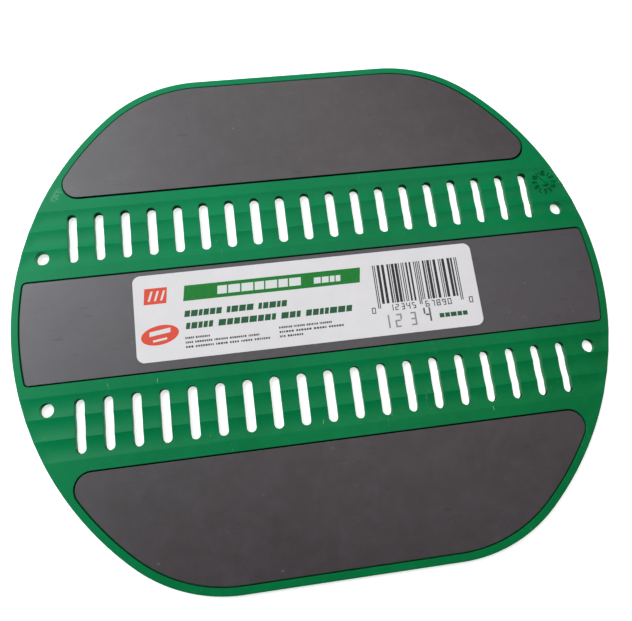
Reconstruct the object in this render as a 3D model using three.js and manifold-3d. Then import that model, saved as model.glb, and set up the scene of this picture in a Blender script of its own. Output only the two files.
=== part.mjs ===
// Magnetic grip pad for a steel drywall mud pan. Millimetres, +Z up.
// A flat rubbery moulding lies on its back with its three sheet magnets facing up. The centre panel
// sticks to the bottom of the pan, and the two side flaps fold up along slotted, fluted webs to stick
// to the pan's side walls. +X runs along the pan, +Y across it, and the origin is the middle of the back.
import * as THREE from "three";
import { mergeVertices } from "three/addons/utils/BufferGeometryUtils.js";
import Module from "manifold-3d";

const wasm = await Module();
wasm.setup();

// Moulding: a disc with its two long sides cut flat and the corners eased.
const OUTLINE_RADIUS = 113.3;
const FLAT_HALF_WIDTH = 98.9;
const CORNER_RADIUS = 55.7;
const THICKNESS = 3.2;

// Magnets, each let into a pocket. The sizes are those of the middle of the narrow gap round each one.
const RIM = 3;
const HALF_GAP = 0.2;
const POCKET_DEPTH = 1.8;
const CENTRE_MAGNET_HALF_WIDTH = 19.4;
const CENTRE_MAGNET_CORNER = 1.5;
const FLAP_MAGNET_INNER_EDGE = 51.7;
const FLAP_MAGNET_CORNER = 6;
const ADHESIVE_THICKNESS = 0.15;
const ADHESIVE_INSET = 1;
const MAGNET_THICKNESS = 1.5;

// Label on the centre magnet.
const LABEL_LENGTH = 131.2;
const LABEL_WIDTH = 33.4;
const LABEL_CORNER = 3;
const LABEL_THICKNESS = 0.1;
const LABEL_CENTRE = [-3.2, 0.9];

// Flexible webs, one each side of the centre panel: three flutes along X, crossed by a row of slots.
const WEB_CENTRE = 35.5;
const FLUTE_COUNT = 3;
const FLUTE_WIDTH = 7.8;
const FLUTE_DEPTH = 0.5;
const SLOT_COUNT = 19;
const SLOT_PITCH = 10;
const SLOT_WIDTH = 3.5;
const SLOT_LENGTH = 19.3;
const HOLE_RADIUS = 2.5;
const HOLE_CENTRE = [101.4, 28.6];

// Flex lines: each web bends along three lines, where the moulding is divided.
const FLEX_PITCH = 10.9;
const FLEX_GAP = 0.3;
const FLEX_LINES = [-1, 0, 1].map((step) => WEB_CENTRE + step * FLEX_PITCH);

// Levels above the back.
const POCKET_FLOOR = THICKNESS - POCKET_DEPTH;
const MAGNET_BASE = POCKET_FLOOR + ADHESIVE_THICKNESS;
const MAGNET_TOP = MAGNET_BASE + MAGNET_THICKNESS;

const OVERCUT = 1; // how far a cutter runs past the face it opens
const REACH = 2 * OUTLINE_RADIUS; // longer than the moulding, for cutters that cross it
const OUTLINE_SEGMENTS = 8;
const SMALL_SEGMENTS = 2;

const green = new THREE.MeshStandardMaterial({ color: 0x14783f, roughness: 0.5, metalness: 0 });
const ferrite = new THREE.MeshStandardMaterial({ color: 0x4a4548, roughness: 0.55, metalness: 0 });
const tape = new THREE.MeshStandardMaterial({ color: 0xd9d4c4, roughness: 0.6, metalness: 0 });
const film = new THREE.MeshStandardMaterial({ color: 0xdedce0, roughness: 0.4, metalness: 0 });

// A closed geometry as a solid.
function solid(geometry) {
  const bare = geometry.clone();
  bare.deleteAttribute("normal");
  bare.deleteAttribute("uv");
  const merged = mergeVertices(bare, 1e-5);
  return new wasm.Manifold(
    new wasm.Mesh({
      numProp: 3,
      vertProperties: new Float32Array(merged.attributes.position.array),
      triVerts: new Uint32Array(merged.index.array),
    }),
  );
}

// A solid as a named mesh.
function piece(name, shape, material) {
  const { vertProperties, triVerts } = shape.getMesh();
  const geometry = new THREE.BufferGeometry();
  geometry.setAttribute("position", new THREE.BufferAttribute(vertProperties, 3));
  geometry.setIndex(new THREE.BufferAttribute(triVerts, 1));
  geometry.computeVertexNormals();
  const mesh = new THREE.Mesh(geometry, material);
  mesh.name = name;
  return mesh;
}

// A plan outline raised from one level to another.
function slab(outline, bottom, top, curveSegments = OUTLINE_SEGMENTS) {
  const geometry = new THREE.ExtrudeGeometry(outline, {
    depth: top - bottom,
    bevelEnabled: false,
    curveSegments,
  });
  return solid(geometry.translate(0, 0, bottom));
}

// A Y-Z section run right across the moulding along X.
function bar(section) {
  const geometry = new THREE.ExtrudeGeometry(section, {
    depth: REACH,
    bevelEnabled: false,
    curveSegments: SMALL_SEGMENTS,
  });
  const alongX = new THREE.Matrix4().makeBasis(
    new THREE.Vector3(0, 1, 0),
    new THREE.Vector3(0, 0, 1),
    new THREE.Vector3(1, 0, 0),
  );
  return solid(geometry.applyMatrix4(alongX).translate(-REACH / 2, 0, 0));
}

// A disc of the given radius cut flat at +-half, with the corners rounded inside it.
function cutDisc(radius, half, corner) {
  const cornerX = Math.sqrt((radius - corner) ** 2 - (half - corner) ** 2);
  const cornerY = half - corner;
  const turn = Math.atan2(cornerY, cornerX);
  const shape = new THREE.Shape();
  shape.absarc(0, 0, radius, -turn, turn);
  shape.absarc(cornerX, cornerY, corner, turn, Math.PI / 2);
  shape.absarc(-cornerX, cornerY, corner, Math.PI / 2, Math.PI - turn);
  shape.absarc(0, 0, radius, Math.PI - turn, Math.PI + turn);
  shape.absarc(-cornerX, -cornerY, corner, Math.PI + turn, 1.5 * Math.PI);
  shape.absarc(cornerX, -cornerY, corner, -Math.PI / 2, -turn);
  return shape;
}

// The part of that disc beyond y = edge, with its two sharp corners rounded: the flap magnet's outline.
function discSegment(radius, half, corner, edge, edgeCorner) {
  const cornerX = Math.sqrt((radius - corner) ** 2 - (half - corner) ** 2);
  const cornerY = half - corner;
  const edgeY = edge + edgeCorner;
  const edgeX = Math.sqrt((radius - edgeCorner) ** 2 - edgeY ** 2);
  const turn = Math.atan2(cornerY, cornerX);
  const edgeTurn = Math.atan2(edgeY, edgeX);
  const shape = new THREE.Shape();
  shape.absarc(edgeX, edgeY, edgeCorner, -Math.PI / 2, edgeTurn);
  shape.absarc(0, 0, radius, edgeTurn, turn);
  shape.absarc(cornerX, cornerY, corner, turn, Math.PI / 2);
  shape.absarc(-cornerX, cornerY, corner, Math.PI / 2, Math.PI - turn);
  shape.absarc(0, 0, radius, Math.PI - turn, Math.PI - edgeTurn);
  shape.absarc(-edgeX, edgeY, edgeCorner, Math.PI - edgeTurn, 1.5 * Math.PI);
  return shape;
}

// A rectangle with rounded corners, centred on (x, y).
function roundedRectangle(x, y, length, width, corner) {
  const right = x + length / 2 - corner;
  const left = x - length / 2 + corner;
  const top = y + width / 2 - corner;
  const bottom = y - width / 2 + corner;
  const shape = new THREE.Shape();
  shape.absarc(right, top, corner, 0, Math.PI / 2);
  shape.absarc(left, top, corner, Math.PI / 2, Math.PI);
  shape.absarc(left, bottom, corner, Math.PI, 1.5 * Math.PI);
  shape.absarc(right, bottom, corner, -Math.PI / 2, 0);
  return shape;
}

// Outline of the centre magnet's gap, grown outwards by offset.
function centreMagnetOutline(offset) {
  return cutDisc(
    OUTLINE_RADIUS - RIM + offset,
    CENTRE_MAGNET_HALF_WIDTH + offset,
    CENTRE_MAGNET_CORNER + offset,
  );
}

// Outline of the +Y flap magnet's gap, grown outwards by offset.
function flapMagnetOutline(offset) {
  return discSegment(
    OUTLINE_RADIUS - RIM + offset,
    FLAT_HALF_WIDTH - RIM + offset,
    CORNER_RADIUS - RIM + offset,
    FLAP_MAGNET_INNER_EDGE - offset,
    FLAP_MAGNET_CORNER + offset,
  );
}

// Radius of the arc that is FLUTE_DEPTH deep over the width of a flute.
const fluteHalf = FLUTE_WIDTH / 2;
const fluteRadius = (fluteHalf ** 2 + FLUTE_DEPTH ** 2) / (2 * FLUTE_DEPTH);
const fluteSpread = Math.asin(fluteHalf / fluteRadius);
const STRAIGHT_DOWN = -Math.PI / 2;

// Cutter of one flute: a shallow trough in the upper face.
function fluteCutter(centre) {
  const section = new THREE.Shape();
  const axisHeight = THICKNESS - FLUTE_DEPTH + fluteRadius;
  section.moveTo(centre - fluteHalf, THICKNESS + OVERCUT);
  section.lineTo(centre - fluteHalf, THICKNESS);
  section.absarc(centre, axisHeight, fluteRadius, STRAIGHT_DOWN - fluteSpread, STRAIGHT_DOWN + fluteSpread);
  section.lineTo(centre + fluteHalf, THICKNESS + OVERCUT);
  return bar(section);
}

// Cutter of the groove in the back under a ridge between two flutes, which keeps the web's thickness even.
function grooveCutter(ridge) {
  const section = new THREE.Shape();
  section.moveTo(ridge - fluteHalf, -OVERCUT);
  section.lineTo(ridge - fluteHalf, 0);
  section.absarc(ridge - fluteHalf, fluteRadius, fluteRadius, STRAIGHT_DOWN, STRAIGHT_DOWN + fluteSpread);
  section.absarc(ridge + fluteHalf, fluteRadius, fluteRadius, STRAIGHT_DOWN - fluteSpread, STRAIGHT_DOWN);
  section.lineTo(ridge + fluteHalf, -OVERCUT);
  return bar(section);
}

// A slot along Y with round ends, centred on (x, y).
function slotOutline(x, y) {
  const radius = SLOT_WIDTH / 2;
  const reach = SLOT_LENGTH / 2 - radius;
  const shape = new THREE.Shape();
  shape.absarc(x, y + reach, radius, 0, Math.PI);
  shape.absarc(x, y - reach, radius, Math.PI, 2 * Math.PI);
  return shape;
}

// Everything that is cut out of the +Y web: its flutes, the grooves behind the ridges between them, its
// row of slots and the hole at each end.
function webCutters() {
  const cutters = [];
  const firstFlute = WEB_CENTRE - ((FLUTE_COUNT - 1) / 2) * FLUTE_WIDTH;
  for (let i = 0; i < FLUTE_COUNT; i++) {
    cutters.push(fluteCutter(firstFlute + i * FLUTE_WIDTH));
  }
  for (let i = 1; i < FLUTE_COUNT; i++) {
    cutters.push(grooveCutter(firstFlute + (i - 0.5) * FLUTE_WIDTH));
  }
  const openings = [];
  for (let i = 0; i < SLOT_COUNT; i++) {
    const x = (i - (SLOT_COUNT - 1) / 2) * SLOT_PITCH;
    openings.push(slotOutline(x, WEB_CENTRE));
  }
  const [holeX, holeY] = HOLE_CENTRE;
  for (const side of [-1, 1]) {
    openings.push(new THREE.Shape().absarc(side * holeX, holeY, HOLE_RADIUS, 0, 2 * Math.PI));
  }
  for (const opening of openings) {
    cutters.push(slab(opening, -OVERCUT, THICKNESS + OVERCUT, SMALL_SEGMENTS));
  }
  return cutters;
}

const mirrored = (shape) => shape.mirror([0, 1, 0]);

// The whole moulding, before it is divided at its flex lines.
function moulding() {
  const pockets = [
    slab(centreMagnetOutline(HALF_GAP), POCKET_FLOOR, THICKNESS + OVERCUT),
    slab(flapMagnetOutline(HALF_GAP), POCKET_FLOOR, THICKNESS + OVERCUT),
  ];
  const rearSide = [...pockets, ...webCutters()];
  const cutters = [...rearSide, ...rearSide.map(mirrored)];
  const blank = slab(cutDisc(OUTLINE_RADIUS, FLAT_HALF_WIDTH, CORNER_RADIUS), 0, THICKNESS);
  return blank.subtract(wasm.Manifold.union(cutters));
}

// The band of a solid between two distances from the X axis, less half a flex gap at each cut.
function band(shape, from, to) {
  const low = from + (from > -REACH ? FLEX_GAP / 2 : 0);
  const high = to - (to < REACH ? FLEX_GAP / 2 : 0);
  const geometry = new THREE.BoxGeometry(REACH + 2 * OVERCUT, high - low, THICKNESS + 2 * OVERCUT);
  return shape.intersect(solid(geometry.translate(0, (low + high) / 2, THICKNESS / 2)));
}

const grip = new THREE.Group();
const whole = moulding();
const [innerLine, middleLine, outerLine] = FLEX_LINES;

grip.add(piece("centre_panel", band(whole, -innerLine, innerLine), green));

// The +Y half, and the -Y half as its mirror image.
const halves = { rear: (shape) => shape, front: mirrored };
for (const [side, place] of Object.entries(halves)) {
  const sidePiece = (part, shape, material) => grip.add(piece(`${side}_${part}`, place(shape), material));
  sidePiece("web_inner", band(whole, innerLine, middleLine), green);
  sidePiece("web_outer", band(whole, middleLine, outerLine), green);
  sidePiece("flap", band(whole, outerLine, REACH), green);
  sidePiece("adhesive", slab(flapMagnetOutline(-ADHESIVE_INSET), POCKET_FLOOR, MAGNET_BASE), tape);
  sidePiece("magnet", slab(flapMagnetOutline(-HALF_GAP), MAGNET_BASE, MAGNET_TOP), ferrite);
}

const centreAdhesive = slab(centreMagnetOutline(-ADHESIVE_INSET), POCKET_FLOOR, MAGNET_BASE);
grip.add(piece("centre_adhesive", centreAdhesive, tape));
grip.add(piece("centre_magnet", slab(centreMagnetOutline(-HALF_GAP), MAGNET_BASE, MAGNET_TOP), ferrite));

const labelOutline = roundedRectangle(...LABEL_CENTRE, LABEL_LENGTH, LABEL_WIDTH, LABEL_CORNER);
grip.add(piece("label", slab(labelOutline, MAGNET_TOP, MAGNET_TOP + LABEL_THICKNESS, SMALL_SEGMENTS), film));

export default grip;
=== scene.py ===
"""Magnetic grip pad for a mud pan: the finished look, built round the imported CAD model.

Plan sizes are in millimetres, as on a drawing, and turn into metres when a mesh is made.
"""
import math
import random

import bmesh
import bpy
import numpy as np
from mathutils import Matrix, Vector
from mathutils.geometry import delaunay_2d_cdt


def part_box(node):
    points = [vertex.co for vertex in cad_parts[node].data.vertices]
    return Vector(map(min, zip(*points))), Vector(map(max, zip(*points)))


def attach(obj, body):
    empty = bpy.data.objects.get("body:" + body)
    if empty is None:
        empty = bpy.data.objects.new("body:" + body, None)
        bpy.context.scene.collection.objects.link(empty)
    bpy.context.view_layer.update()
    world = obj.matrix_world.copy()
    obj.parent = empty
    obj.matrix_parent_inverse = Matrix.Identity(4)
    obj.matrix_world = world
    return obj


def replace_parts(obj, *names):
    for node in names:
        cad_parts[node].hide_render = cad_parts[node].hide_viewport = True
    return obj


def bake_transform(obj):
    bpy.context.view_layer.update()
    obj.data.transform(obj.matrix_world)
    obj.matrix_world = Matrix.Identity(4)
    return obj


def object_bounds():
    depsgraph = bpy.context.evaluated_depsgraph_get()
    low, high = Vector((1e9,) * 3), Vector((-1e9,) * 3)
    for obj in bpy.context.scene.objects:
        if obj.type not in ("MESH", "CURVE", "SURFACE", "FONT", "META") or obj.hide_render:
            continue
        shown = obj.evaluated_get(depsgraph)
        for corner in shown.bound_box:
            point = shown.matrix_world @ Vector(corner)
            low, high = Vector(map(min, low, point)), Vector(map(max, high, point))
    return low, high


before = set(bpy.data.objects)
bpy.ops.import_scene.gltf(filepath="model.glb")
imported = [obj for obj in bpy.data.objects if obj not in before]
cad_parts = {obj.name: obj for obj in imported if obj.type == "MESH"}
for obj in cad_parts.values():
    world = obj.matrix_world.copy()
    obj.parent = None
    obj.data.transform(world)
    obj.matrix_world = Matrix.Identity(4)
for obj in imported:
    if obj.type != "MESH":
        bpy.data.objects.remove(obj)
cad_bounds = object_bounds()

MM = 0.001


def node_box(node):
    """Lowest and highest corner of a CAD node, in millimetres."""
    low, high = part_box(node)
    return [v / MM for v in low], [v / MM for v in high]


# ---------------------------------------------------------------------------------------------------
# Sizes
# ---------------------------------------------------------------------------------------------------

# The moulding: a disc cut flat at the front and the rear. Its overall size is the frame's.
OUTLINE_RADIUS, FLAT_HALF_WIDTH, THICKNESS = [v / MM for v in cad_bounds[1]]
CORNER_RADIUS = 55.7
OUTLINE_ROUND = 0.55

# Magnets and the pockets they lie in. Their places and heights are the frame's.
CENTRE_MAGNET_LOW, CENTRE_MAGNET_HIGH = node_box("centre_magnet")
FLAP_MAGNET_LOW, FLAP_MAGNET_HIGH = node_box("rear_magnet")
POCKET_FLOOR = node_box("centre_adhesive")[0][2]
MAGNET_RADIUS, MAGNET_HALF_WIDTH, MAGNET_TOP = CENTRE_MAGNET_HIGH
MAGNET_BASE = CENTRE_MAGNET_LOW[2]
FLAP_MAGNET_INNER_EDGE = FLAP_MAGNET_LOW[1]
FLAP_MAGNET_OUTER_EDGE = FLAP_MAGNET_HIGH[1]
CENTRE_MAGNET_CORNER = 1.3
FLAP_MAGNET_CORNER = 5.8
MAGNET_GAP = 0.5  # between a magnet and its pocket's wall, all round
MAGNET_SHIFTS = {"rear": (-0.22, 0.30), "front": (0.0, 0.0)}  # how far each sheet lies off centre
MAGNET_ROUND = 0.12
LIP_ROUND = 0.15
POCKET_DRAFT = 0.05  # width over which the wall of a pocket or a pin mark falls to its floor

# Webs: three flutes in the top, two grooves in the back, a row of slots and a hole at each end.
WEB_CENTRE = 35.5
FLUTE_WIDTH = 7.8
FLUTE_DEPTH = 0.5
FLUTE_FADE = 3.0  # how far in from the outline the flutes grow to their full depth
FLUTE_DEPTH_AT_OUTLINE = 0.4  # as a share of the full depth
FLUTES_START = WEB_CENTRE - 1.5 * FLUTE_WIDTH
FLUTES_END = WEB_CENTRE + 1.5 * FLUTE_WIDTH
RIDGES = [FLUTES_START + i * FLUTE_WIDTH for i in range(4)]
SLOT_PITCH = 10
SLOT_REACH = 90  # X of the last slot
SLOT_HALF_LENGTH = 9.65
SLOT_HALF_WIDTH = 1.75
SLOT_HALF_STRAIGHT = SLOT_HALF_LENGTH - SLOT_HALF_WIDTH
HOLE_X, HOLE_Y = 101.4, 28.6
HOLE_RADIUS = 2.5
OPENING_ROUND = 0.2

# Where the moulding is divided into pieces. The middle two seams are on ridges.
SEAMS = [19.85, RIDGES[1], RIDGES[2], 51.2]

# Mould date dial in the rear web.
DIAL_CENTRE = np.array([98.8, 40.3])
DIAL_RADIUS = 5.6
DIAL_DEPTH = 0.5
DIAL_STROKE = 0.34
DIAL_STROKE_SOFTNESS = 0.1  # width over which a stroke's edge falls to its full depth
MONTH_DIGIT_SIZE, MONTH_DIGIT_GAP, MONTH_RADIUS = 0.8, 0.4, 3.2
ARROW_TAIL, ARROW_TIP = np.array([-1.3, 1.9]), np.array([1.3, -1.9])
ARROW_BARBS = [np.array([-1.7, 0.45]), np.array([0.1, 1.8])]  # from the tip

# Shallow round marks that the ejector pins left in the back, clear of the webs.
PIN_PLACES = [(x, y) for y in (-76, 0, 76) for x in (-62, 0, 62)]
PIN_RADIUS = 3.5
PIN_DEPTH = 0.15

# Label. Its place and heights are the frame's.
LABEL_LOW, LABEL_HIGH = node_box("label")
LABEL_CORNER = 3
LABEL_TOP = LABEL_HIGH[2]
LABEL_ROUND = 0.03
INK_THICKNESS = 0.012

# How finely curves and surfaces are divided.
ROUND_STEPS = 4
OUTLINE_STEP = 1.0
POCKET_STEP = 1.4
SLOT_STEP = 0.65
HOLE_STEP = 0.5
PIN_STEP = 0.8
LABEL_STEP = 0.4
ARC_STEPS = 14
WEB_GRID = (1.3, 0.65)
DIAL_GRID = 0.12
CLEARANCE = 0.35  # between a loose point and the nearest drawn line
CREASE = math.radians(38)  # faces that meet more sharply than this have a hard edge
PAST_ROUND = 1.2  # where the first ring on the flat is, in radii of the rounded edge
TOLERANCE = 1e-3


# ---------------------------------------------------------------------------------------------------
# Plan curves. Each returns a closed loop of points, anticlockwise.
# ---------------------------------------------------------------------------------------------------

def arc(centre, radius, start, end, step):
    """Points along an arc from angle start to angle end, the last one left out."""
    count = max(3, int(math.ceil(abs(end - start) * radius / step)))
    turn = start + (end - start) * np.arange(count) / count
    return np.column_stack([centre[0] + radius * np.cos(turn), centre[1] + radius * np.sin(turn)])


def straight(start, end, step):
    """Points from start towards end, the last one left out."""
    start, end = np.array(start, float), np.array(end, float)
    count = max(1, int(math.ceil(np.linalg.norm(end - start) / step)))
    return start + (end - start) * (np.arange(count) / count)[:, None]


def corner_centre(radius, half, corner):
    """Centre of the arc that eases a disc into the flat at y = half."""
    y = half - corner
    return math.sqrt((radius - corner) ** 2 - y ** 2), y


def cut_disc_loop(radius, half, corner, step):
    """A disc cut flat at y = +-half, with rounded corners."""
    x, y = corner_centre(radius, half, corner)
    turn = math.atan2(y, x)
    quarter = math.pi / 2
    return np.vstack([
        arc((0, 0), radius, -turn, turn, step),
        arc((x, y), corner, turn, quarter, step),
        straight((x, half), (-x, half), step),
        arc((-x, y), corner, quarter, math.pi - turn, step),
        arc((0, 0), radius, math.pi - turn, math.pi + turn, step),
        arc((-x, -y), corner, math.pi + turn, 3 * quarter, step),
        straight((-x, -half), (x, -half), step),
        arc((x, -y), corner, -quarter, -turn, step),
    ])


def edge_corner_centre(radius, edge, corner):
    """Centre of the arc between the straight edge at y = edge and the disc."""
    y = edge + corner
    return math.sqrt((radius - corner) ** 2 - y ** 2), y


def disc_segment_loop(radius, half, corner, edge, edge_corner, step):
    """The part of a cut disc beyond y = edge, with its two sharp corners rounded."""
    x, y = corner_centre(radius, half, corner)
    edge_x, edge_y = edge_corner_centre(radius, edge, edge_corner)
    turn = math.atan2(y, x)
    edge_turn = math.atan2(edge_y, edge_x)
    quarter = math.pi / 2
    return np.vstack([
        straight((-edge_x, edge), (edge_x, edge), step),
        arc((edge_x, edge_y), edge_corner, -quarter, edge_turn, step),
        arc((0, 0), radius, edge_turn, turn, step),
        arc((x, y), corner, turn, quarter, step),
        straight((x, half), (-x, half), step),
        arc((-x, y), corner, quarter, math.pi - turn, step),
        arc((0, 0), radius, math.pi - turn, math.pi - edge_turn, step),
        arc((-edge_x, edge_y), edge_corner, math.pi - edge_turn, 3 * quarter, step),
    ])


def slot_loop(x, y, radius):
    """A slot along Y with round ends."""
    arc_step = math.pi * radius / ARC_STEPS
    top, bottom = y + SLOT_HALF_STRAIGHT, y - SLOT_HALF_STRAIGHT
    return np.vstack([
        arc((x, top), radius, 0, math.pi, arc_step),
        straight((x - radius, top), (x - radius, bottom), SLOT_STEP),
        arc((x, bottom), radius, math.pi, 2 * math.pi, arc_step),
        straight((x + radius, bottom), (x + radius, top), SLOT_STEP),
    ])


def rounded_rectangle_loop(low, high, corner, step):
    """A rectangle with rounded corners."""
    quarter = math.pi / 2
    corners = [
        ((high[0] - corner, low[1] + corner), -quarter),
        ((high[0] - corner, high[1] - corner), 0),
        ((low[0] + corner, high[1] - corner), quarter),
        ((low[0] + corner, low[1] + corner), math.pi),
    ]
    return np.vstack([arc(centre, corner, start, start + quarter, step) for centre, start in corners])


# ---------------------------------------------------------------------------------------------------
# How far a point is inside an outline, in millimetres; exact near the outline's edge.
# ---------------------------------------------------------------------------------------------------

def cut_disc_depth(p, radius, half, corner):
    """Depth inside a disc cut flat at y = +-half."""
    x, y = np.abs(p[:, 0]), np.abs(p[:, 1])
    corner_x, corner_y = corner_centre(radius, half, corner)
    depth = np.minimum(radius - np.hypot(x, y), half - y)
    in_corner = (x > corner_x) & (y * corner_x > x * corner_y)
    return np.where(in_corner, corner - np.hypot(x - corner_x, y - corner_y), depth)


def disc_segment_depth(p, radius, half, corner, edge, edge_corner):
    """Depth inside the part of a cut disc beyond y = edge."""
    x, y = np.abs(p[:, 0]), p[:, 1]
    edge_x, edge_y = edge_corner_centre(radius, edge, edge_corner)
    depth = np.minimum(cut_disc_depth(p, radius, half, corner), y - edge)
    in_corner = (x > edge_x) & (y * edge_x < x * edge_y)
    return np.where(in_corner, edge_corner - np.hypot(x - edge_x, y - edge_y), depth)


def rectangle_depth(p, low, high, corner):
    """Depth inside a rectangle with rounded corners."""
    middle = (np.array(low[:2]) + np.array(high[:2])) / 2
    half = (np.array(high[:2]) - np.array(low[:2])) / 2
    q = np.abs(p - middle) - half + corner
    outside = np.hypot(np.maximum(q[:, 0], 0), np.maximum(q[:, 1], 0))
    return corner - outside - np.minimum(q.max(axis=1), 0)


def slot_distance(p):
    """Distance out from the edge of the nearest slot."""
    nearest = np.clip(np.round(p[:, 0] / SLOT_PITCH) * SLOT_PITCH, -SLOT_REACH, SLOT_REACH)
    along = np.maximum(np.abs(np.abs(p[:, 1]) - WEB_CENTRE) - SLOT_HALF_STRAIGHT, 0)
    return np.hypot(p[:, 0] - nearest, along) - SLOT_HALF_WIDTH


def hole_distance(p):
    """Distance out from the edge of the nearest hole."""
    return np.hypot(np.abs(p[:, 0]) - HOLE_X, np.abs(p[:, 1]) - HOLE_Y) - HOLE_RADIUS


def pocket_depth(p):
    """Depth inside the nearest magnet pocket."""
    centre = cut_disc_depth(
        p,
        MAGNET_RADIUS + MAGNET_GAP,
        MAGNET_HALF_WIDTH + MAGNET_GAP,
        CENTRE_MAGNET_CORNER + MAGNET_GAP,
    )
    mirrored = np.column_stack([p[:, 0], np.abs(p[:, 1])])
    flap = disc_segment_depth(mirrored, *flap_pocket_sizes())
    return np.maximum(centre, flap)


def flap_magnet_sizes(grow=0.0):
    """Radius, half width, corner, edge and edge corner of the flap magnet's outline, grown by grow."""
    inset = OUTLINE_RADIUS - MAGNET_RADIUS
    return (
        MAGNET_RADIUS + grow,
        FLAP_MAGNET_OUTER_EDGE + grow,
        CORNER_RADIUS - inset + grow,
        FLAP_MAGNET_INNER_EDGE - grow,
        FLAP_MAGNET_CORNER + grow,
    )


def flap_pocket_sizes(grow=0.0):
    """The same sizes of the pocket that the flap magnet lies in."""
    return flap_magnet_sizes(MAGNET_GAP + grow)


# ---------------------------------------------------------------------------------------------------
# Heights of the moulding's faces
# ---------------------------------------------------------------------------------------------------

def round_over(depth, radius):
    """How far a surface has dropped at this depth inside an edge that is rounded to radius."""
    reach = np.clip(radius - depth, 0, radius)
    return radius - np.sqrt(np.maximum(radius ** 2 - reach ** 2, 0))


def edge_drop(p):
    """Drop towards the outline, the slots and the holes."""
    outline = cut_disc_depth(p, OUTLINE_RADIUS, FLAT_HALF_WIDTH, CORNER_RADIUS)
    opening = np.minimum(slot_distance(p), hole_distance(p))
    return np.maximum(round_over(outline, OUTLINE_ROUND), round_over(opening, OPENING_ROUND))


def flute_depth(p):
    """Depth of the three flutes in the top of each web."""
    y = np.abs(p[:, 1])
    across = np.mod(y - FLUTES_START, FLUTE_WIDTH) / FLUTE_WIDTH * 2 - 1
    in_flutes = (y > FLUTES_START) & (y < FLUTES_END)
    outline = cut_disc_depth(p, OUTLINE_RADIUS, FLAT_HALF_WIDTH, CORNER_RADIUS)
    growth = (1 - FLUTE_DEPTH_AT_OUTLINE) * np.clip(outline / FLUTE_FADE, 0, 1)
    depth = FLUTE_DEPTH * (FLUTE_DEPTH_AT_OUTLINE + growth)
    return np.where(in_flutes, depth * (1 - across ** 2), 0)


def groove_depth(p):
    """Depth of the two grooves in the back of each web, under the ridges between its flutes."""
    y = np.abs(p[:, 1])
    half = FLUTE_WIDTH / 2
    to_ridge = np.minimum(np.abs(y - RIDGES[1]), np.abs(y - RIDGES[2]))
    return FLUTE_DEPTH * np.clip(1 - to_ridge / half, 0, 1) ** 2


def moulding_top(p):
    """Height of the magnet side, from the raised face down to the floors of the pockets."""
    outside_pocket = -pocket_depth(p)
    raised = THICKNESS - flute_depth(p) - edge_drop(p) - round_over(outside_pocket, LIP_ROUND)
    raised -= DIAL_DEPTH * dial_relief(p)
    return np.where(outside_pocket < -POCKET_DRAFT / 2, POCKET_FLOOR, raised)


def pin_marks(p):
    """Depth of the ejector-pin marks in the back."""
    from_pin = np.min([np.hypot(p[:, 0] - x, p[:, 1] - y) for x, y in PIN_PLACES], axis=0)
    return np.where(from_pin < PIN_RADIUS - POCKET_DRAFT / 2, PIN_DEPTH, 0)


def moulding_bottom(p):
    """Height of the back, which is flat but for grooves, rounded edges and pin marks."""
    return groove_depth(p) + edge_drop(p) + pin_marks(p)


# ---------------------------------------------------------------------------------------------------
# Date dial: the twelve months round an arrow, as strokes
# ---------------------------------------------------------------------------------------------------

# Seven-segment strokes of a digit one unit wide and two high, and which of them each digit uses.
SEGMENTS = {
    "top": ((0, 2), (1, 2)),
    "upper_left": ((0, 1), (0, 2)),
    "upper_right": ((1, 1), (1, 2)),
    "middle": ((0, 1), (1, 1)),
    "lower_left": ((0, 0), (0, 1)),
    "lower_right": ((1, 0), (1, 1)),
    "bottom": ((0, 0), (1, 0)),
}
DIGITS = {
    "0": ("top", "upper_left", "upper_right", "lower_left", "lower_right", "bottom"),
    "1": ("upper_right", "lower_right"),
    "2": ("top", "upper_right", "middle", "lower_left", "bottom"),
    "3": ("top", "upper_right", "middle", "lower_right", "bottom"),
    "4": ("upper_left", "upper_right", "middle", "lower_right"),
    "5": ("top", "upper_left", "middle", "lower_right", "bottom"),
    "6": ("top", "upper_left", "middle", "lower_left", "lower_right", "bottom"),
    "7": ("top", "upper_right", "lower_right"),
    "8": tuple(SEGMENTS),
    "9": ("top", "upper_left", "upper_right", "middle", "lower_right", "bottom"),
}


def dial_strokes():
    """Start and end points of every stroke of the dial, relative to its centre."""
    size, gap = MONTH_DIGIT_SIZE, MONTH_DIGIT_GAP
    strokes = []
    for month in range(1, 13):
        text = str(month)
        turn = math.radians(90 - 30 * month)
        outwards = np.array([math.cos(turn), math.sin(turn)])
        across = np.array([outwards[1], -outwards[0]])
        width = len(text) * size + (len(text) - 1) * gap
        for i, digit in enumerate(text):
            left = i * (size + gap) - width / 2
            for name in DIGITS[digit]:
                strokes.append([
                    across * (left + x * size) + outwards * (MONTH_RADIUS + y * size)
                    for x, y in SEGMENTS[name]
                ])
    strokes.append([ARROW_TAIL, ARROW_TIP])
    strokes.extend([ARROW_TIP, ARROW_TIP + barb] for barb in ARROW_BARBS)
    return strokes


def dial_relief(p):
    """How much of the dial's depth is cut at each point, from 0 to 1."""
    relief = np.zeros(len(p))
    local = p - DIAL_CENTRE
    near = np.hypot(local[:, 0], local[:, 1]) < DIAL_RADIUS + 1
    q = local[near]
    distance = np.full(len(q), np.inf)
    for start, end in dial_strokes():
        run = end - start
        t = np.clip((q - start) @ run / (run @ run), 0, 1)
        distance = np.minimum(distance, np.hypot(*(q - start - t[:, None] * run).T))
    relief[near] = np.clip(0.5 + (DIAL_STROKE / 2 - distance) / DIAL_STROKE_SOFTNESS, 0, 1)
    return relief


# ---------------------------------------------------------------------------------------------------
# Meshes
# ---------------------------------------------------------------------------------------------------

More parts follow.
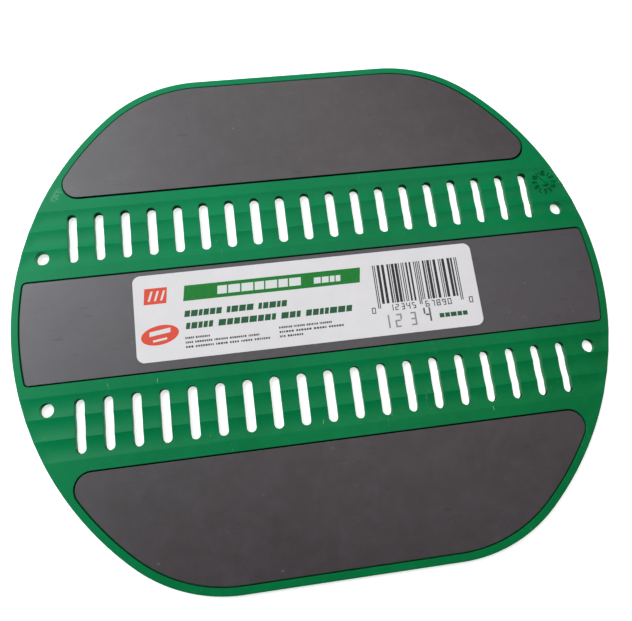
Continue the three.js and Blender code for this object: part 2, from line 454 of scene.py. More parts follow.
def round_offsets(radius):
    """Depths of the rings that draw a rounded edge, and one ring on the flat just past it."""
    turn = np.linspace(0, math.pi / 2, ROUND_STEPS + 1)
    return list(radius * (1 - np.cos(turn))) + [radius * PAST_ROUND]


def triangulate(loops, lines=(), points=()):
    """Constrained triangulation of closed loops, open lines and loose points."""
    coordinates, edges = [], []
    for run, closed in [(loop, True) for loop in loops] + [(line, False) for line in lines]:
        first, count = len(coordinates), len(run)
        coordinates.extend(Vector(q) for q in run)
        edges.extend((first + i, first + i + 1) for i in range(count - 1))
        if closed:
            edges.append((first + count - 1, first))
    coordinates.extend(Vector(q) for q in points)
    all_triangles, merge_distance = 0, 1e-4
    result = delaunay_2d_cdt(coordinates, edges, [], all_triangles, merge_distance, False)
    return np.array([tuple(v) for v in result[0]]), np.array(result[2])


def closed_mesh(name, plan, triangles, top, bottom):
    """A closed body between two height functions over a set of plan triangles."""
    used, faces = np.unique(triangles, return_inverse=True)
    faces = faces.reshape(-1, 3)
    p = plan[used]
    a, b, c = p[faces[:, 0]], p[faces[:, 1]], p[faces[:, 2]]
    area = np.cross(b - a, c - a)
    faces[area < 0] = faces[area < 0][:, ::-1]
    count = len(p)
    vertices = np.vstack([np.column_stack([p, top(p)]), np.column_stack([p, bottom(p)])]) * MM
    directed = {(int(f[i]), int(f[(i + 1) % 3])) for f in faces for i in range(3)}
    walls = [(i, i + count, j + count, j) for i, j in directed if (j, i) not in directed]
    polygons = faces.tolist() + (faces[:, ::-1] + count).tolist() + sorted(walls)
    mesh = bpy.data.meshes.new(name)
    mesh.from_pydata(vertices.tolist(), [], polygons)
    return mesh


def crease(mesh, ridge_lines=()):
    """Smooth shading, with hard edges where faces meet sharply and along the given lines of constant |y|."""
    bm = bmesh.new()
    bm.from_mesh(mesh)
    for face in bm.faces:
        face.smooth = True
    for edge in bm.edges:
        sharp = edge.calc_face_angle(0) > CREASE
        for ridge in ridge_lines:
            sharp = sharp or all(abs(abs(v.co.y) / MM - ridge) < TOLERANCE for v in edge.verts)
        edge.smooth = not sharp
    bm.to_mesh(mesh)
    bm.free()


def add_piece(mesh, material, body=None):
    """A visible piece with one material that, if body is given, rides on that CAD body."""
    piece = bpy.data.objects.new(mesh.name, mesh)
    bpy.context.scene.collection.objects.link(piece)
    mesh.materials.append(material)
    if body:
        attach(piece, body)
    return piece


def plate(name, loop, depth, low, high, edge_round):
    """A flat plate with a rounded upper edge. loop(grow) draws it, depth(p) is the depth inside it."""
    offsets = round_offsets(edge_round)
    plan, triangles = triangulate([loop(-offset) for offset in offsets])
    middles = plan[triangles].mean(axis=1)
    inside = depth(middles) > 0
    mesh = closed_mesh(
        name,
        plan,
        triangles[inside],
        lambda p: high - round_over(depth(p), edge_round),
        lambda p: np.full(len(p), low),
    )
    crease(mesh)
    return mesh


# ---------------------------------------------------------------------------------------------------
# Node materials
# ---------------------------------------------------------------------------------------------------

class Nodes:
    """A short way to write a material's node tree. Textures use object coordinates, in metres."""

    def __init__(self, name):
        self.material = bpy.data.materials.new(name)
        self.material.use_nodes = True
        self.tree = self.material.node_tree
        self.shader = self.tree.nodes["Principled BSDF"]
        self.place = self.add("ShaderNodeTexCoord").outputs["Object"]

    def add(self, kind, **settings):
        """A new node of this kind."""
        node = self.tree.nodes.new(kind)
        for key, value in settings.items():
            setattr(node, key, value)
        return node

    def link(self, output, target):
        """Joins a node's output to another's socket."""
        self.tree.links.new(output, target)

    def stretched(self, scale, turn=0.0):
        """Object coordinates turned about Z, then scaled."""
        node = self.add("ShaderNodeMapping")
        node.inputs["Scale"].default_value = scale
        node.inputs["Rotation"].default_value = (0, 0, math.radians(turn))
        self.link(self.place, node.inputs["Vector"])
        return node.outputs["Vector"]

    def axes(self):
        """The x, y and z of the place, in metres."""
        node = self.add("ShaderNodeSeparateXYZ")
        self.link(self.place, node.inputs["Vector"])
        return node.outputs["X"], node.outputs["Y"], node.outputs["Z"]

    def near(self, x, y, half_length, half_width, turn=0.0):
        """1 round a point, given in millimetres, falling to 0 at the edge of an ellipse about it."""
        node = self.add("ShaderNodeMapping", vector_type="TEXTURE")
        node.inputs["Location"].default_value = (x * MM, y * MM, THICKNESS * MM)
        node.inputs["Rotation"].default_value = (0, 0, math.radians(turn))
        node.inputs["Scale"].default_value = (half_length * MM, half_width * MM, THICKNESS * MM)
        self.link(self.place, node.inputs["Vector"])
        length = self.add("ShaderNodeVectorMath", operation="LENGTH")
        self.link(node.outputs["Vector"], length.inputs[0])
        return self.remap(length.outputs["Value"], 0.4, 1.0, 1.0, 0.0)

    def noise(self, scale, detail=2.0, roughness=0.5, place=None):
        """Smooth noise from 0 to 1, with about scale cells to a metre."""
        node = self.add("ShaderNodeTexNoise")
        node.inputs["Scale"].default_value = scale
        node.inputs["Detail"].default_value = detail
        node.inputs["Roughness"].default_value = roughness
        self.link(place or self.place, node.inputs["Vector"])
        return node.outputs["Fac"]

    def remap(self, value, low, high, to_low=0.0, to_high=1.0):
        """A value stretched so that low to high becomes to_low to to_high, and kept inside that."""
        node = self.add("ShaderNodeMapRange")
        for key, number in zip(("From Min", "From Max", "To Min", "To Max"), (low, high, to_low, to_high)):
            node.inputs[key].default_value = number
        self.link(value, node.inputs["Value"])
        return node.outputs["Result"]

    def math(self, operation, first, second=0):
        """Arithmetic on one or two values, each a number or a socket."""
        node = self.add("ShaderNodeMath", operation=operation)
        for socket, value in zip(node.inputs, (first, second)):
            if isinstance(value, (int, float)):
                socket.default_value = value
            else:
                self.link(value, socket)
        return node.outputs["Value"]

    def mix(self, factor, first, second):
        """A mix of two colours, each a colour or a socket."""
        node = self.add("ShaderNodeMix", data_type="RGBA")
        self.link(factor, node.inputs["Factor"])
        for socket, value in zip((node.inputs[6], node.inputs[7]), (first, second)):
            if isinstance(value, tuple):
                socket.default_value = (*value, 1)
            else:
                self.link(value, socket)
        return node.outputs[2]

    def bump(self, height, distance, strength=1.0, under=None):
        """A normal with this relief, distance metres high, on top of the normal under it."""
        node = self.add("ShaderNodeBump")
        node.inputs["Distance"].default_value = distance
        node.inputs["Strength"].default_value = strength
        self.link(height, node.inputs["Height"])
        if under:
            self.link(under, node.inputs["Normal"])
        return node.outputs["Normal"]

    def finish(self, colour, roughness, normal, **shader):
        """The material, with these three sockets linked and the shader's other settings."""
        self.link(colour, self.shader.inputs["Base Color"])
        self.link(roughness, self.shader.inputs["Roughness"])
        self.link(normal, self.shader.inputs["Normal"])
        for key, value in shader.items():
            self.shader.inputs[key.replace("_", " ").title().replace("Ior", "IOR")].default_value = value
        return self.material


def opening_walls(n):
    """1 on the walls of the pockets, slots and holes, where shade is painted, 0 on the top, the back and the
    outer wall.

    It fades out towards the middle of each web and beyond the flaps' inner edges. Zones are in metres.
    """
    inside_outline = (0.1095, 0.1085)
    inside_flaps = (0.062, 0.058)
    outside_web = (0.0075, 0.0088)
    below_top, above_back = (0.0025, 0.0023), (0.0002, 0.0005)
    x, y, z = n.axes()
    radius = n.math("SQRT", n.math("ADD", n.math("MULTIPLY", x, x), n.math("MULTIPLY", y, y)))
    from_axis = n.math("ABSOLUTE", y)
    from_web = n.math("ABSOLUTE", n.math("SUBTRACT", from_axis, WEB_CENTRE * MM))
    inside = n.math("MULTIPLY", n.remap(radius, *inside_outline), n.remap(from_axis, *inside_flaps))
    deep = n.math("MULTIPLY", n.remap(z, *below_top), n.remap(z, *above_back))
    return n.math("MULTIPLY", n.math("MULTIPLY", inside, n.remap(from_web, *outside_web)), deep)


def moulding_material():
    """Green thermoplastic rubber: satin, finely spark-eroded, with faint flow variation, pale scuffs and
    painted shade that darkens the walls of its openings. Painted light makes it a little paler and
    bluer towards the rear left."""
    clouded, rubbed = (0.004, 0.24, 0.078), (0.32, 0.52, 0.38)
    # scuffed is pale wear; the other colour is the near black of the shade painted on the walls of the
    # openings.
    scuffed, painted_wall_shade = (0.32, 0.58, 0.42), (0.0008, 0.014, 0.006)
    n = Nodes("green_rubber")
    flow = n.remap(n.noise(22, 3, 0.55, n.stretched((1, 0.35, 1))), 0.3, 0.7)
    # Painted light: the green is mixed paler and bluer towards the rear left, where the window light falls,
    # and darker towards the front right.
    shaded_front_right = n.mix(flow, (0.0003, 0.131, 0.034), (0.0006, 0.158, 0.042))
    lit_rear_left = n.mix(flow, (0.0006, 0.196, 0.067), (0.0012, 0.235, 0.083))
    x, y, _ = n.axes()
    painted_light_fade = n.remap(n.math("SUBTRACT", y, n.math("MULTIPLY", x, 0.6)), -0.095, 0.095)
    colour = n.mix(painted_light_fade, shaded_front_right, lit_rear_left)
    cloud = n.remap(n.noise(260, 4, 0.6), 0.45, 0.8)
    colour = n.mix(n.math("MULTIPLY", cloud, 0.25), colour, clouded)
    rub = n.math(
        "MULTIPLY",
        n.remap(n.noise(1400, 3, 0.7, n.stretched((1, 0.25, 1), 35)), 0.63, 0.74),
        n.remap(n.noise(60, 2, 0.5), 0.58, 0.7),
    )
    colour = n.mix(n.math("MULTIPLY", rub, 0.5), colour, rubbed)
    corner = n.near(-95.4, 53.7, 3.8, 2.2, 60)
    scuff = n.math("MULTIPLY", corner, n.remap(n.noise(900, 3, 0.7), 0.45, 0.65))
    for nick_x, nick_y, turn in ((-4, -44.7, 80), (59.5, -47.6, 100), (-62, -22.5, 85)):
        scuff = n.math("MAXIMUM", scuff, n.near(nick_x, nick_y, 1.1, 0.22, turn))
    colour = n.mix(n.math("MULTIPLY", scuff, 0.45), colour, scuffed)
    walls = opening_walls(n)
    # Painted shade: the walls of the pockets, slots and holes are mixed towards near black, where shade
    # falls in them.
    colour = n.mix(n.math("MULTIPLY", walls, 0.92), colour, painted_wall_shade)
    roughness = n.remap(n.noise(45, 4, 0.6), 0.3, 0.7, 0.30, 0.38)
    roughness = n.math("ADD", roughness, n.math("MULTIPLY", walls, 0.55))
    grain = n.bump(n.noise(4200, 2, 0.6), 0.00002, 0.55)
    skin = n.bump(n.noise(420, 3, 0.5), 0.00006, 0.35, grain)
    return n.finish(colour, roughness, skin, specular_ior_level=0.08)


def magnet_material(name, darker, lighter):
    """Calendered ferrite rubber: dark warm grey, rolled along X, with clouds, streaks and dark dashes."""
    clouded, grained, dashed = (0.058, 0.051, 0.056), (0.054, 0.046, 0.050), (0.010, 0.008, 0.009)
    scratched, specked = (0.20, 0.19, 0.195), (0.24, 0.23, 0.23)
    n = Nodes(name)
    rolled = n.remap(n.noise(30, 4, 0.6, n.stretched((0.35, 1.6, 1))), 0.3, 0.7)
    colour = n.mix(rolled, darker, lighter)
    cloud = n.remap(n.noise(130, 5, 0.75), 0.40, 0.70)
    colour = n.mix(n.math("MULTIPLY", cloud, 0.55), colour, clouded)
    grain = n.remap(n.noise(1900, 3, 0.65), 0.35, 0.75)
    colour = n.mix(n.math("MULTIPLY", grain, 0.3), colour, grained)
    dash = n.math(
        "MULTIPLY",
        n.remap(n.noise(1, 2, 0.5, n.stretched((120, 560, 1), 4)), 0.66, 0.73),
        n.remap(n.noise(28, 2, 0.5), 0.45, 0.58),
    )
    colour = n.mix(n.math("MULTIPLY", dash, 0.7), colour, dashed)
    scratches = None
    for turn, along in ((8, 26), (96, 40), (-38, 55)):
        line = n.noise(1, 2, 0.5, n.stretched((along, 2300, 1), turn))
        line = n.remap(line, 0.70, 0.76)
        patch = n.remap(n.noise(18 + along / 4, 2, 0.5, n.stretched((1, 1, 1), turn)), 0.55, 0.72)
        line = n.math("MULTIPLY", line, patch)
        scratches = line if scratches is None else n.math("MAXIMUM", scratches, line)
    colour = n.mix(n.math("MULTIPLY", scratches, 0.3), colour, scratched)
    specks = n.remap(n.noise(520, 1, 0.4), 0.80, 0.82)
    colour = n.mix(n.math("MULTIPLY", specks, 0.25), colour, specked)
    roughness = n.remap(n.noise(26, 5, 0.65), 0.3, 0.7, 0.36, 0.42)
    fine = n.bump(n.noise(2600, 3, 0.6), 0.000015, 0.5)
    waves = n.bump(n.noise(38, 3, 0.5, n.stretched((0.5, 1.5, 1))), 0.0003, 0.25, fine)
    marks = n.bump(scratches, 0.00002, -0.5, waves)
    return n.finish(colour, roughness, marks, specular_ior_level=0.6)


def label_material():
    """Off-white printed film with a faint fibre and a semi-gloss face."""
    n = Nodes("label_film")
    cloud = n.remap(n.noise(120, 4, 0.6), 0.3, 0.7)
    colour = n.mix(cloud, (0.715, 0.69, 0.69), (0.755, 0.73, 0.73))
    roughness = n.remap(n.noise(300, 3, 0.6), 0.3, 0.7, 0.42, 0.52)
    fibre = n.bump(n.noise(900, 3, 0.6, n.stretched((0.4, 1, 1))), 0.00001, 0.5)
    return n.finish(colour, roughness, fibre, specular_ior_level=0.15)


def ink_material(name, colour):
    """Printed ink, very slightly uneven over the film."""
    n = Nodes(name)
    lighter = tuple(v + 0.02 * (1 - v) for v in colour)
    tint = n.mix(n.remap(n.noise(1500, 3, 0.6), 0.35, 0.75), colour, lighter)
    roughness = n.remap(n.noise(500, 2, 0.5), 0.3, 0.7, 0.40, 0.50)
    return n.finish(tint, roughness, n.bump(n.noise(2200), 0.000005, 0.4), specular_ior_level=0.12)


def tape_material():
    """Double-sided tape: pale, slightly mottled adhesive."""
    n = Nodes("adhesive_tape")
    colour = n.mix(n.remap(n.noise(300, 4, 0.6), 0.3, 0.7), (0.62, 0.57, 0.46), (0.74, 0.70, 0.60))
    roughness = n.remap(n.noise(200, 2, 0.5), 0.3, 0.7, 0.5, 0.65)
    return n.finish(colour, roughness, n.bump(n.noise(800), 0.00002, 0.4), specular_ior_level=0.4)


# ---------------------------------------------------------------------------------------------------
# The moulding
# ---------------------------------------------------------------------------------------------------

def moulding_loops():
    """Rings round every edge of the moulding, on both sides of X."""
    loops = []
    for offset in round_offsets(OUTLINE_ROUND):
        loops.append(cut_disc_loop(
            OUTLINE_RADIUS - offset, FLAT_HALF_WIDTH - offset, CORNER_RADIUS - offset, OUTLINE_STEP))
    flipped = [1, -1]
    for grow in round_offsets(LIP_ROUND) + [-POCKET_DRAFT]:
        gap = MAGNET_GAP + grow
        loops.append(cut_disc_loop(
            MAGNET_RADIUS + gap, MAGNET_HALF_WIDTH + gap, CENTRE_MAGNET_CORNER + gap, POCKET_STEP))
        flap = disc_segment_loop(*flap_pocket_sizes(grow), POCKET_STEP)
        loops.extend([flap, flap * flipped])
    for place in PIN_PLACES:
        for radius in (PIN_RADIUS, PIN_RADIUS - POCKET_DRAFT):
            loops.append(arc(place, radius, 0, 2 * math.pi, PIN_STEP))
    for offset in round_offsets(OPENING_ROUND):
        for side in (-1, 1):
            for x in range(-SLOT_REACH, SLOT_REACH + 1, SLOT_PITCH):
                loops.append(slot_loop(x, side * WEB_CENTRE, SLOT_HALF_WIDTH + offset))
            for end in (-1, 1):
                radius = HOLE_RADIUS + offset
                loops.append(arc((end * HOLE_X, side * HOLE_Y), radius, 0, 2 * math.pi, HOLE_STEP))
    return loops


def grid(low, high, step):
    """Points of a rectangular grid."""
    x = np.arange(low[0], high[0], step[0])
    y = np.arange(low[1], high[1], step[1])
    return np.array(np.meshgrid(x, y)).reshape(2, -1).T


def moulding_points():
    """Loose points that let the webs curve and give the dial its detail, clear of every drawn line."""
    rows = grid((-OUTLINE_RADIUS, SEAMS[0]), (OUTLINE_RADIUS, SEAMS[-1]), WEB_GRID)
    points = np.vstack([rows, rows * [1, -1]])
    from_dial = np.hypot(*(points - DIAL_CENTRE).T)
    points = points[from_dial > DIAL_RADIUS + CLEARANCE]
    dial = grid(DIAL_CENTRE - DIAL_RADIUS, DIAL_CENTRE + DIAL_RADIUS, (DIAL_GRID, DIAL_GRID))
    dial = dial[np.hypot(*(dial - DIAL_CENTRE).T) < DIAL_RADIUS]

    def clear(p, room):
        """The points that are more than room from every edge."""
        outline = cut_disc_depth(p, OUTLINE_RADIUS, FLAT_HALF_WIDTH, CORNER_RADIUS) - OUTLINE_ROUND
        opening = np.minimum(slot_distance(p), hole_distance(p)) - OPENING_ROUND
        kept = (outline > room) & (opening > room)
        for line in SEAMS + RIDGES:
            kept &= np.abs(np.abs(p[:, 1]) - line) > room / 2
        return p[kept]

    return np.vstack([clear(points, CLEARANCE), clear(dial, DIAL_GRID)])


def build_moulding(material):
    """The moulding as nine pieces that meet exactly: the panel, two flaps and three strips of each web."""
    reach = OUTLINE_RADIUS + 1
    lines = []
    for y in sorted(set(SEAMS + RIDGES)):
        lines.extend([[(-reach, side * y), (reach, side * y)] for side in (-1, 1)])
    plan, triangles = triangulate(moulding_loops(), lines, moulding_points())
    middles = plan[triangles].mean(axis=1)
    solid = cut_disc_depth(middles, OUTLINE_RADIUS, FLAT_HALF_WIDTH, CORNER_RADIUS) > 0
    solid &= (slot_distance(middles) > 0) & (hole_distance(middles) > 0)
    from_axis = np.abs(middles[:, 1])

    def strip(name, low, high, side=None):
        """The part of the moulding between two distances from the X axis."""
        chosen = solid & (from_axis >= low) & (from_axis < high)
        if side:
            chosen &= middles[:, 1] * side > 0
        mesh = closed_mesh(name, plan, triangles[chosen], moulding_top, moulding_bottom)
        crease(mesh, RIDGES)
        return add_piece(mesh, material)

    centre = strip("centre_moulding", 0, SEAMS[0])
    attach(centre, "centre")
    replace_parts(centre, "centre_panel")
    for name, side in (("rear", 1), ("front", -1)):
        bodies = ["centre", f"{name}_inner_strip", f"{name}_outer_strip", f"{name}_side"]
        stands_for = [f"{name}_web_inner", f"{name}_web_inner", f"{name}_web_outer"]
        for i, part in enumerate(("inner", "middle", "outer")):
            low, high = SEAMS[i], SEAMS[i + 1]
            piece = strip(f"{name}_strip_{part}", low, high, side)
            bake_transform(piece)
            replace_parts(piece, stands_for[i])
        flap = strip(f"{name}_flap_moulding", SEAMS[-1], OUTLINE_RADIUS, side)
        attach(flap, bodies[-1])
        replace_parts(flap, f"{name}_flap")


# ---------------------------------------------------------------------------------------------------
# Magnets, adhesive and label
# ---------------------------------------------------------------------------------------------------

def build_magnets(centre_material, flap_material):
    """The three magnet sheets, each in its pocket."""
    centre = plate(
        "centre_magnet_sheet",
        lambda grow: cut_disc_loop(
            MAGNET_RADIUS + grow, MAGNET_HALF_WIDTH + grow, CENTRE_MAGNET_CORNER + grow, POCKET_STEP),
        lambda p: cut_disc_depth(p, MAGNET_RADIUS, MAGNET_HALF_WIDTH, CENTRE_MAGNET_CORNER),
        MAGNET_BASE, MAGNET_TOP, MAGNET_ROUND,
    )
    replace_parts(add_piece(centre, centre_material, "centre"), "centre_magnet")
    for name, side in (("rear", 1), ("front", -1)):
        shift = np.array(MAGNET_SHIFTS[name])
        sheet = plate(
            f"{name}_magnet_sheet",
            lambda grow: disc_segment_loop(*flap_magnet_sizes(grow), POCKET_STEP) * [1, side] + shift,
            lambda p: disc_segment_depth((p - shift) * [1, side], *flap_magnet_sizes()),
            MAGNET_BASE, MAGNET_TOP, MAGNET_ROUND,
        )
        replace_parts(add_piece(sheet, flap_material, f"{name}_side"), f"{name}_magnet")


def finish_adhesive(material):
    """The adhesive films stay as the CAD made them, under the magnets."""
    for name in ("centre", "rear", "front"):
        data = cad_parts[f"{name}_adhesive"].data
        data.materials.clear()
        data.materials.append(material)


def build_label(material):
    """The label's bare film."""
    film = plate(
        "label_film",
        lambda grow: rounded_rectangle_loop(
            [v - grow for v in LABEL_LOW], [v + grow for v in LABEL_HIGH], LABEL_CORNER + grow, LABEL_STEP),
        lambda p: rectangle_depth(p, LABEL_LOW, LABEL_HIGH, LABEL_CORNER),
        LABEL_LOW[2], LABEL_TOP, LABEL_ROUND,
    )
    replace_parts(add_piece(film, material, "centre"), "label")


# ---------------------------------------------------------------------------------------------------
# Label print. All of it is generic: blocks and bars stand for the wording, mark and codes.
# Places are from the label's lower left corner.
# ---------------------------------------------------------------------------------------------------

SLANT = 0.2  # how far the wording leans for each unit of height


def block(x, y, width, height):
    """An upright rectangle."""
    return [(x, y), (x + width, y), (x + width, y + height), (x, y + height)]


def leaning(shape, base, slant):
    """A shape pushed over to the right, the more the higher above its base line."""
    return [(u + slant * (v - base), v) for u, v in shape]


def turned(shape, centre, angle):
    """A shape turned about a point."""
    c, s = math.cos(angle), math.sin(angle)
    moved = [(u - centre[0], v - centre[1]) for u, v in shape]
    return [(centre[0] + c * u - s * v, centre[1] + s * u + c * v) for u, v in moved]


def ellipse(x, y, half_width, half_height, count=48):
    """An ellipse as a polygon."""
    turn = [2 * math.pi * i / count for i in range(count)]
    return [(x + half_width * math.cos(a), y + half_height * math.sin(a)) for a in turn]


def wording(x, y, words, right, height, rng, slant=SLANT, gap=0.16):
    """A line of placeholder wording from x to right: a row of plain blocks of one height for each word."""
    cells = []
    for count in words:
        cells.extend((rng.choice((0.55, 0.8, 0.8, 1.0)), True) for _ in range(count))
        cells.append((0.45, False))
    stretch = (right - x) / (sum(width + gap for width, _ in cells[:-1]) - gap)
    shapes = []
    for width, inked in cells:
        wide = width * stretch
        if inked:
            shapes.append(leaning(block(x, y, wide, height), y, slant))
        x += wide + gap * stretch
    return shapes


def number(text, x, y, pitch, width, height, line):
    """Plain digits made of straight strokes that stop just short of one another."""
    gap = 0.04
    middle = (height + line) / 2
    shapes = []
    for i, digit in enumerate(text):
        for name in DIGITS[digit]:
            (x0, y0), (_, y1) = SEGMENTS[name]
            left = x + i * pitch + x0 * (width - line)
            if y0 == y1:
                low = y + y0 * (height - line) / 2
                shapes.append(block(left + line + gap, low, width - 2 * (line + gap), line))
            elif y0 == 0:
                shapes.append(block(left, y, line, middle - gap))
            else:
                shapes.append(block(left, y + middle, line, height - middle))
    return shapes


def code_bars(x, y, width, height, rng):
    """A made-up bar code, with longer guard bars at its ends and in the middle. Spans are in modules."""
    modules, guard_drop = 95, 1.7
    guard_spans, data_spans = ((0, 3), (46, 49), (92, 95)), ((4, 45), (50, 91))
    module = width / modules
    shapes = []
    for start, end in guard_spans:
        for at in range(start, end, 2):
            shapes.append(block(x + at * module, y - guard_drop, module, height + guard_drop))
    for start, end in data_spans:
        at = start + rng.choice((0, 1))
        while at < end - 1:
            bar = min(rng.choice((1, 1, 2, 3)), end - at)
            shapes.append(block(x + at * module, y, bar * module, height))
            at += bar + rng.choice((1, 1, 2, 3))
    return shapes


def print_layers():
    """Every ink of the label: its shapes, and how many ink layers lie below it."""
    rng = random.Random(21)
    badge, tilt = (8.9, 9.9), math.radians(8)
    emblem = (8.5, 25.0)
    heading, small = 2.4, 0.75  # heights of the wording
    code_digit, stamped_digit, bold_digit = (1.5, 2.4, 0.34), (2.7, 5.2, 0.6), (2.8, 5.4, 0.66)
    red = [turned(ellipse(*badge, 7, 3.65), badge, tilt)]
    red.append(leaning(block(emblem[0] - 4.5, emblem[1] - 3.1, 8.4, 6.2), emblem[1], 0.1))
    banner = leaning(block(18.3, 21.9, 67.4, 6), 21.9, 0.15)
    white = wording(31.2, 23.3, (7,), 63, 3.2, rng, 0.1, 0.12)
    white += wording(68, 23.3, (4,), 78.3, 2.4, rng, 0.12, 0.14)
    for lift, half in ((0.5, 3.9), (-1.9, 2.6)):
        bar = block(badge[0] - half, badge[1] + lift - 0.3, 2 * half, 1.7 if lift > 0 else 0.8)
        white.append(turned(leaning(bar, badge[1], 0.2), badge, tilt))
    for i in range(3):
        white.append(leaning(block(emblem[0] - 2.6 + 2.3 * i, emblem[1] - 1.9, 0.8, 3.8), emblem[1], 0.35))
    dark_green = wording(18.2, 15.7, (6, 4, 5), 56.6, heading, rng)
    dark_green += wording(18.4, 11.0, (5, 8, 3, 7), 81, heading, rng)
    dark_green += wording(114.4, 4.6, (5,), 125.4, 1.7, rng, 0)
    black = code_bars(91.3, 12.4, 33.6, 15.6, rng)
    black += number("0", 88.7, 8.9, 0, *code_digit)
    black += number("12345", 95.6, 9.4, 2.2, *code_digit)
    black += number("67890", 109.7, 9.4, 2.2, *code_digit)
    black += number("0", 127, 9.2, 0, *code_digit)
    for x, ends in ((18, (27, 45.2, 49)), (52.8, (72.8, 77.1, 61.5))):
        for row, right in enumerate(ends):
            words = [rng.randint(3, 8) for _ in range(max(1, round((right - x) / 5.5)))]
            black += wording(x, 7.3 - 1.7 * row, words, right, small, rng, 0, 0.4)
    grey = []
    for digit, x, y in (("1", 92.2, 2.7), ("2", 97, 2.7), ("3", 102.6, 2.8)):
        grey += number(digit, x, y, 0, *stamped_digit)
    dark_grey = number("4", 108.4, 3.7, 0, *bold_digit)
    return {
        "green": ([banner], (0.005, 0.185, 0.022), 0),
        "dark_green": (dark_green, (0.014, 0.10, 0.036), 0),
        "red": (red, (0.72, 0.075, 0.040), 0),
        "white": (white, (0.70, 0.72, 0.70), 1),
        "black": (black, (0.028, 0.026, 0.028), 0),
        "grey": (grey, (0.26, 0.25, 0.25), 0),
        "dark_grey": (dark_grey, (0.11, 0.11, 0.11), 0),
    }


def build_print():
    """Each ink as a thin layer on the label's face."""
    for name, (shapes, colour, below) in print_layers().items():
        base = LABEL_TOP - INK_THICKNESS / 2
        face = LABEL_TOP + INK_THICKNESS * (1 + below)
        bm = bmesh.new()
        for shape in shapes:
            outline = [(LABEL_LOW[0] + u, LABEL_LOW[1] + v) for u, v in shape]
            lower = [bm.verts.new(Vector((u, v, base)) * MM) for u, v in outline]
            upper = [bm.verts.new(Vector((u, v, face)) * MM) for u, v in outline]
            bm.faces.new(upper)
            bm.faces.new(lower[::-1])
            for i in range(len(outline)):
                j = (i + 1) % len(outline)
                bm.faces.new([lower[i], lower[j], upper[j], upper[i]])
        bmesh.ops.recalc_face_normals(bm, faces=bm.faces)
        mesh = bpy.data.meshes.new(f"label_{name}_print")
        bm.to_mesh(mesh)
        bm.free()
        add_piece(mesh, ink_material(f"{name}_ink", colour), "centre")


# ---------------------------------------------------------------------------------------------------
# Floor, light and camera
# ---------------------------------------------------------------------------------------------------

def pale_material():
    """Matt pale paper, lit a little from within so that it stays pale in the shade of the pad."""
    material = bpy.data.materials.new("pale_paper")
    material.use_nodes = True
    shader = material.node_tree.nodes["Principled BSDF"]
    shader.inputs["Base Color"].default_value = (0.93, 0.93, 0.93, 1)
    shader.inputs["Roughness"].default_value = 0.9
    shader.inputs["Specular IOR Level"].default_value = 0.1
    shader.inputs["Emission Color"].default_value = (1, 1, 1, 1)
    shader.inputs["Emission Strength"].default_value = 0.6
    return material


def round_stage(name, profile, material):
    """A surface turned about Z through (radius, height) points in metres, with a flat at the last one."""
    count = 96
    turns = [2 * math.pi * i / count for i in range(count)]
    points = [(r * math.cos(a), r * math.sin(a), z) for r, z in profile for a in turns]
    faces = []
    for low in range(0, count * (len(profile) - 1), count):
        for i in range(count):
            j = (i + 1) % count
            faces.append((low + i, low + j, low + count + j, low + count + i))
    faces.append(tuple(range(len(points) - count, len(points))))
    mesh = bpy.data.meshes.new(name)
    mesh.from_pydata(points, [], faces)
    mesh.shade_smooth()
    mesh.materials.append(material)
    piece = bpy.data.objects.new(name, mesh)
    bpy.context.scene.collection.objects.link(piece)
    return piece


def build_stage():
    """A plain pale floor, and a backdrop that curves up from its edge and adds nothing to the light."""
    floor_radius, cove, ceiling = 3.0, 0.8, 2.8
    material = pale_material()
    round_stage("floor", [(floor_radius, 0)], material)
    curve = [math.radians(10 * i) for i in range(10)]
    profile = [(floor_radius + cove * math.sin(a), cove * (1 - math.cos(a))) for a in curve]
    profile.append((floor_radius + cove, ceiling))
    backdrop = round_stage("backdrop", profile, material)
    backdrop.visible_diffuse = False
    backdrop.visible_glossy = False
    backdrop.visible_shadow = False


def area_light(name, azimuth, elevation, distance, size, power, colour):
    """A square soft box that faces the object, azimuth degrees anticlockwise from +X."""
    turn, tilt = math.radians(azimuth), math.radians(elevation)
    away = Vector((math.cos(turn) * math.cos(tilt), math.sin(turn) * math.cos(tilt), math.sin(tilt)))
    light = bpy.data.lights.new(name, "AREA")
    light.shape = "SQUARE"
    light.size = size
    light.energy = power
    light.color = colour
    lamp = bpy.data.objects.new(name, light)
    lamp.location = away * distance
    lamp.rotation_euler = away.to_track_quat("Z", "Y").to_euler()
    bpy.context.scene.collection.objects.link(lamp)


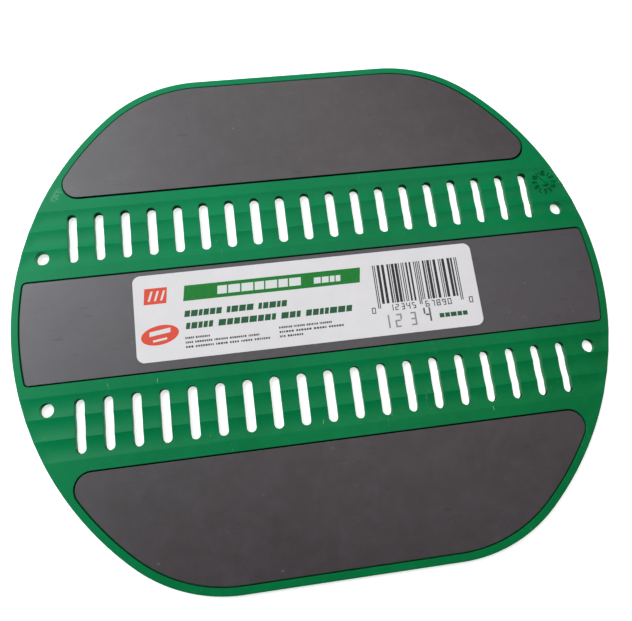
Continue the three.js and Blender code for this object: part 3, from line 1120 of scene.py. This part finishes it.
def build_light():
    """Soft window light from the rear left, weaker ones from the rear and right, and two from high up."""
    world = bpy.data.worlds.new("studio")
    world.use_nodes = True
    background = world.node_tree.nodes["Background"]
    background.inputs["Color"].default_value = (1.0, 0.985, 0.98, 1)
    background.inputs["Strength"].default_value = 0.12
    bpy.context.scene.world = world
    area_light("window", 144, 45, 1.6, 1.1, 23.0, (0.92, 0.965, 1.01))
    area_light("rear_window", 90, 44, 1.6, 0.8, 3.9, (1.0, 0.98, 0.97))
    area_light("side_window", 0, 44, 1.6, 0.8, 1.2, (1.0, 0.97, 0.97))
    area_light("overhead", 147, 66, 1.6, 0.8, 2.0, (0.95, 0.98, 1.0))
    area_light("ceiling", 50, 70, 1.6, 0.8, 4.4, (1.0, 0.97, 0.975))


def build_camera():
    """A close view from above the front edge, turned a little on its axis."""
    azimuth, elevation, roll = math.radians(-21.57), math.radians(75.07), math.radians(14.62)
    distance = 0.2463
    target = Vector((-0.0012, -0.0027, THICKNESS / 2 * MM))
    back = Vector((
        math.sin(azimuth) * math.cos(elevation),
        -math.cos(azimuth) * math.cos(elevation),
        math.sin(elevation),
    ))
    right = Vector((0, 0, 1)).cross(back).normalized()
    up = back.cross(right)
    turned_right = math.cos(roll) * right + math.sin(roll) * up
    turned_up = -math.sin(roll) * right + math.cos(roll) * up
    data = bpy.data.cameras.new("camera")
    data.lens = 36.8
    data.sensor_width = 36
    data.clip_start = 0.01
    camera = bpy.data.objects.new("camera", data)
    axes = Matrix((turned_right, turned_up, back)).transposed().to_4x4()
    camera.matrix_world = Matrix.Translation(target + back * distance) @ axes
    bpy.context.scene.collection.objects.link(camera)
    bpy.context.scene.camera = camera
    bpy.context.scene.view_settings.view_transform = "Standard"


build_camera()
build_light()
build_stage()
build_moulding(moulding_material())
build_magnets(
    magnet_material("ferrite_rubber_centre", (0.0357, 0.0294, 0.0348), (0.0452, 0.0372, 0.0439)),
    magnet_material("ferrite_rubber", (0.030, 0.0222, 0.0246), (0.038, 0.0281, 0.0310)),
)
finish_adhesive(tape_material())
build_label(label_material())
build_print()
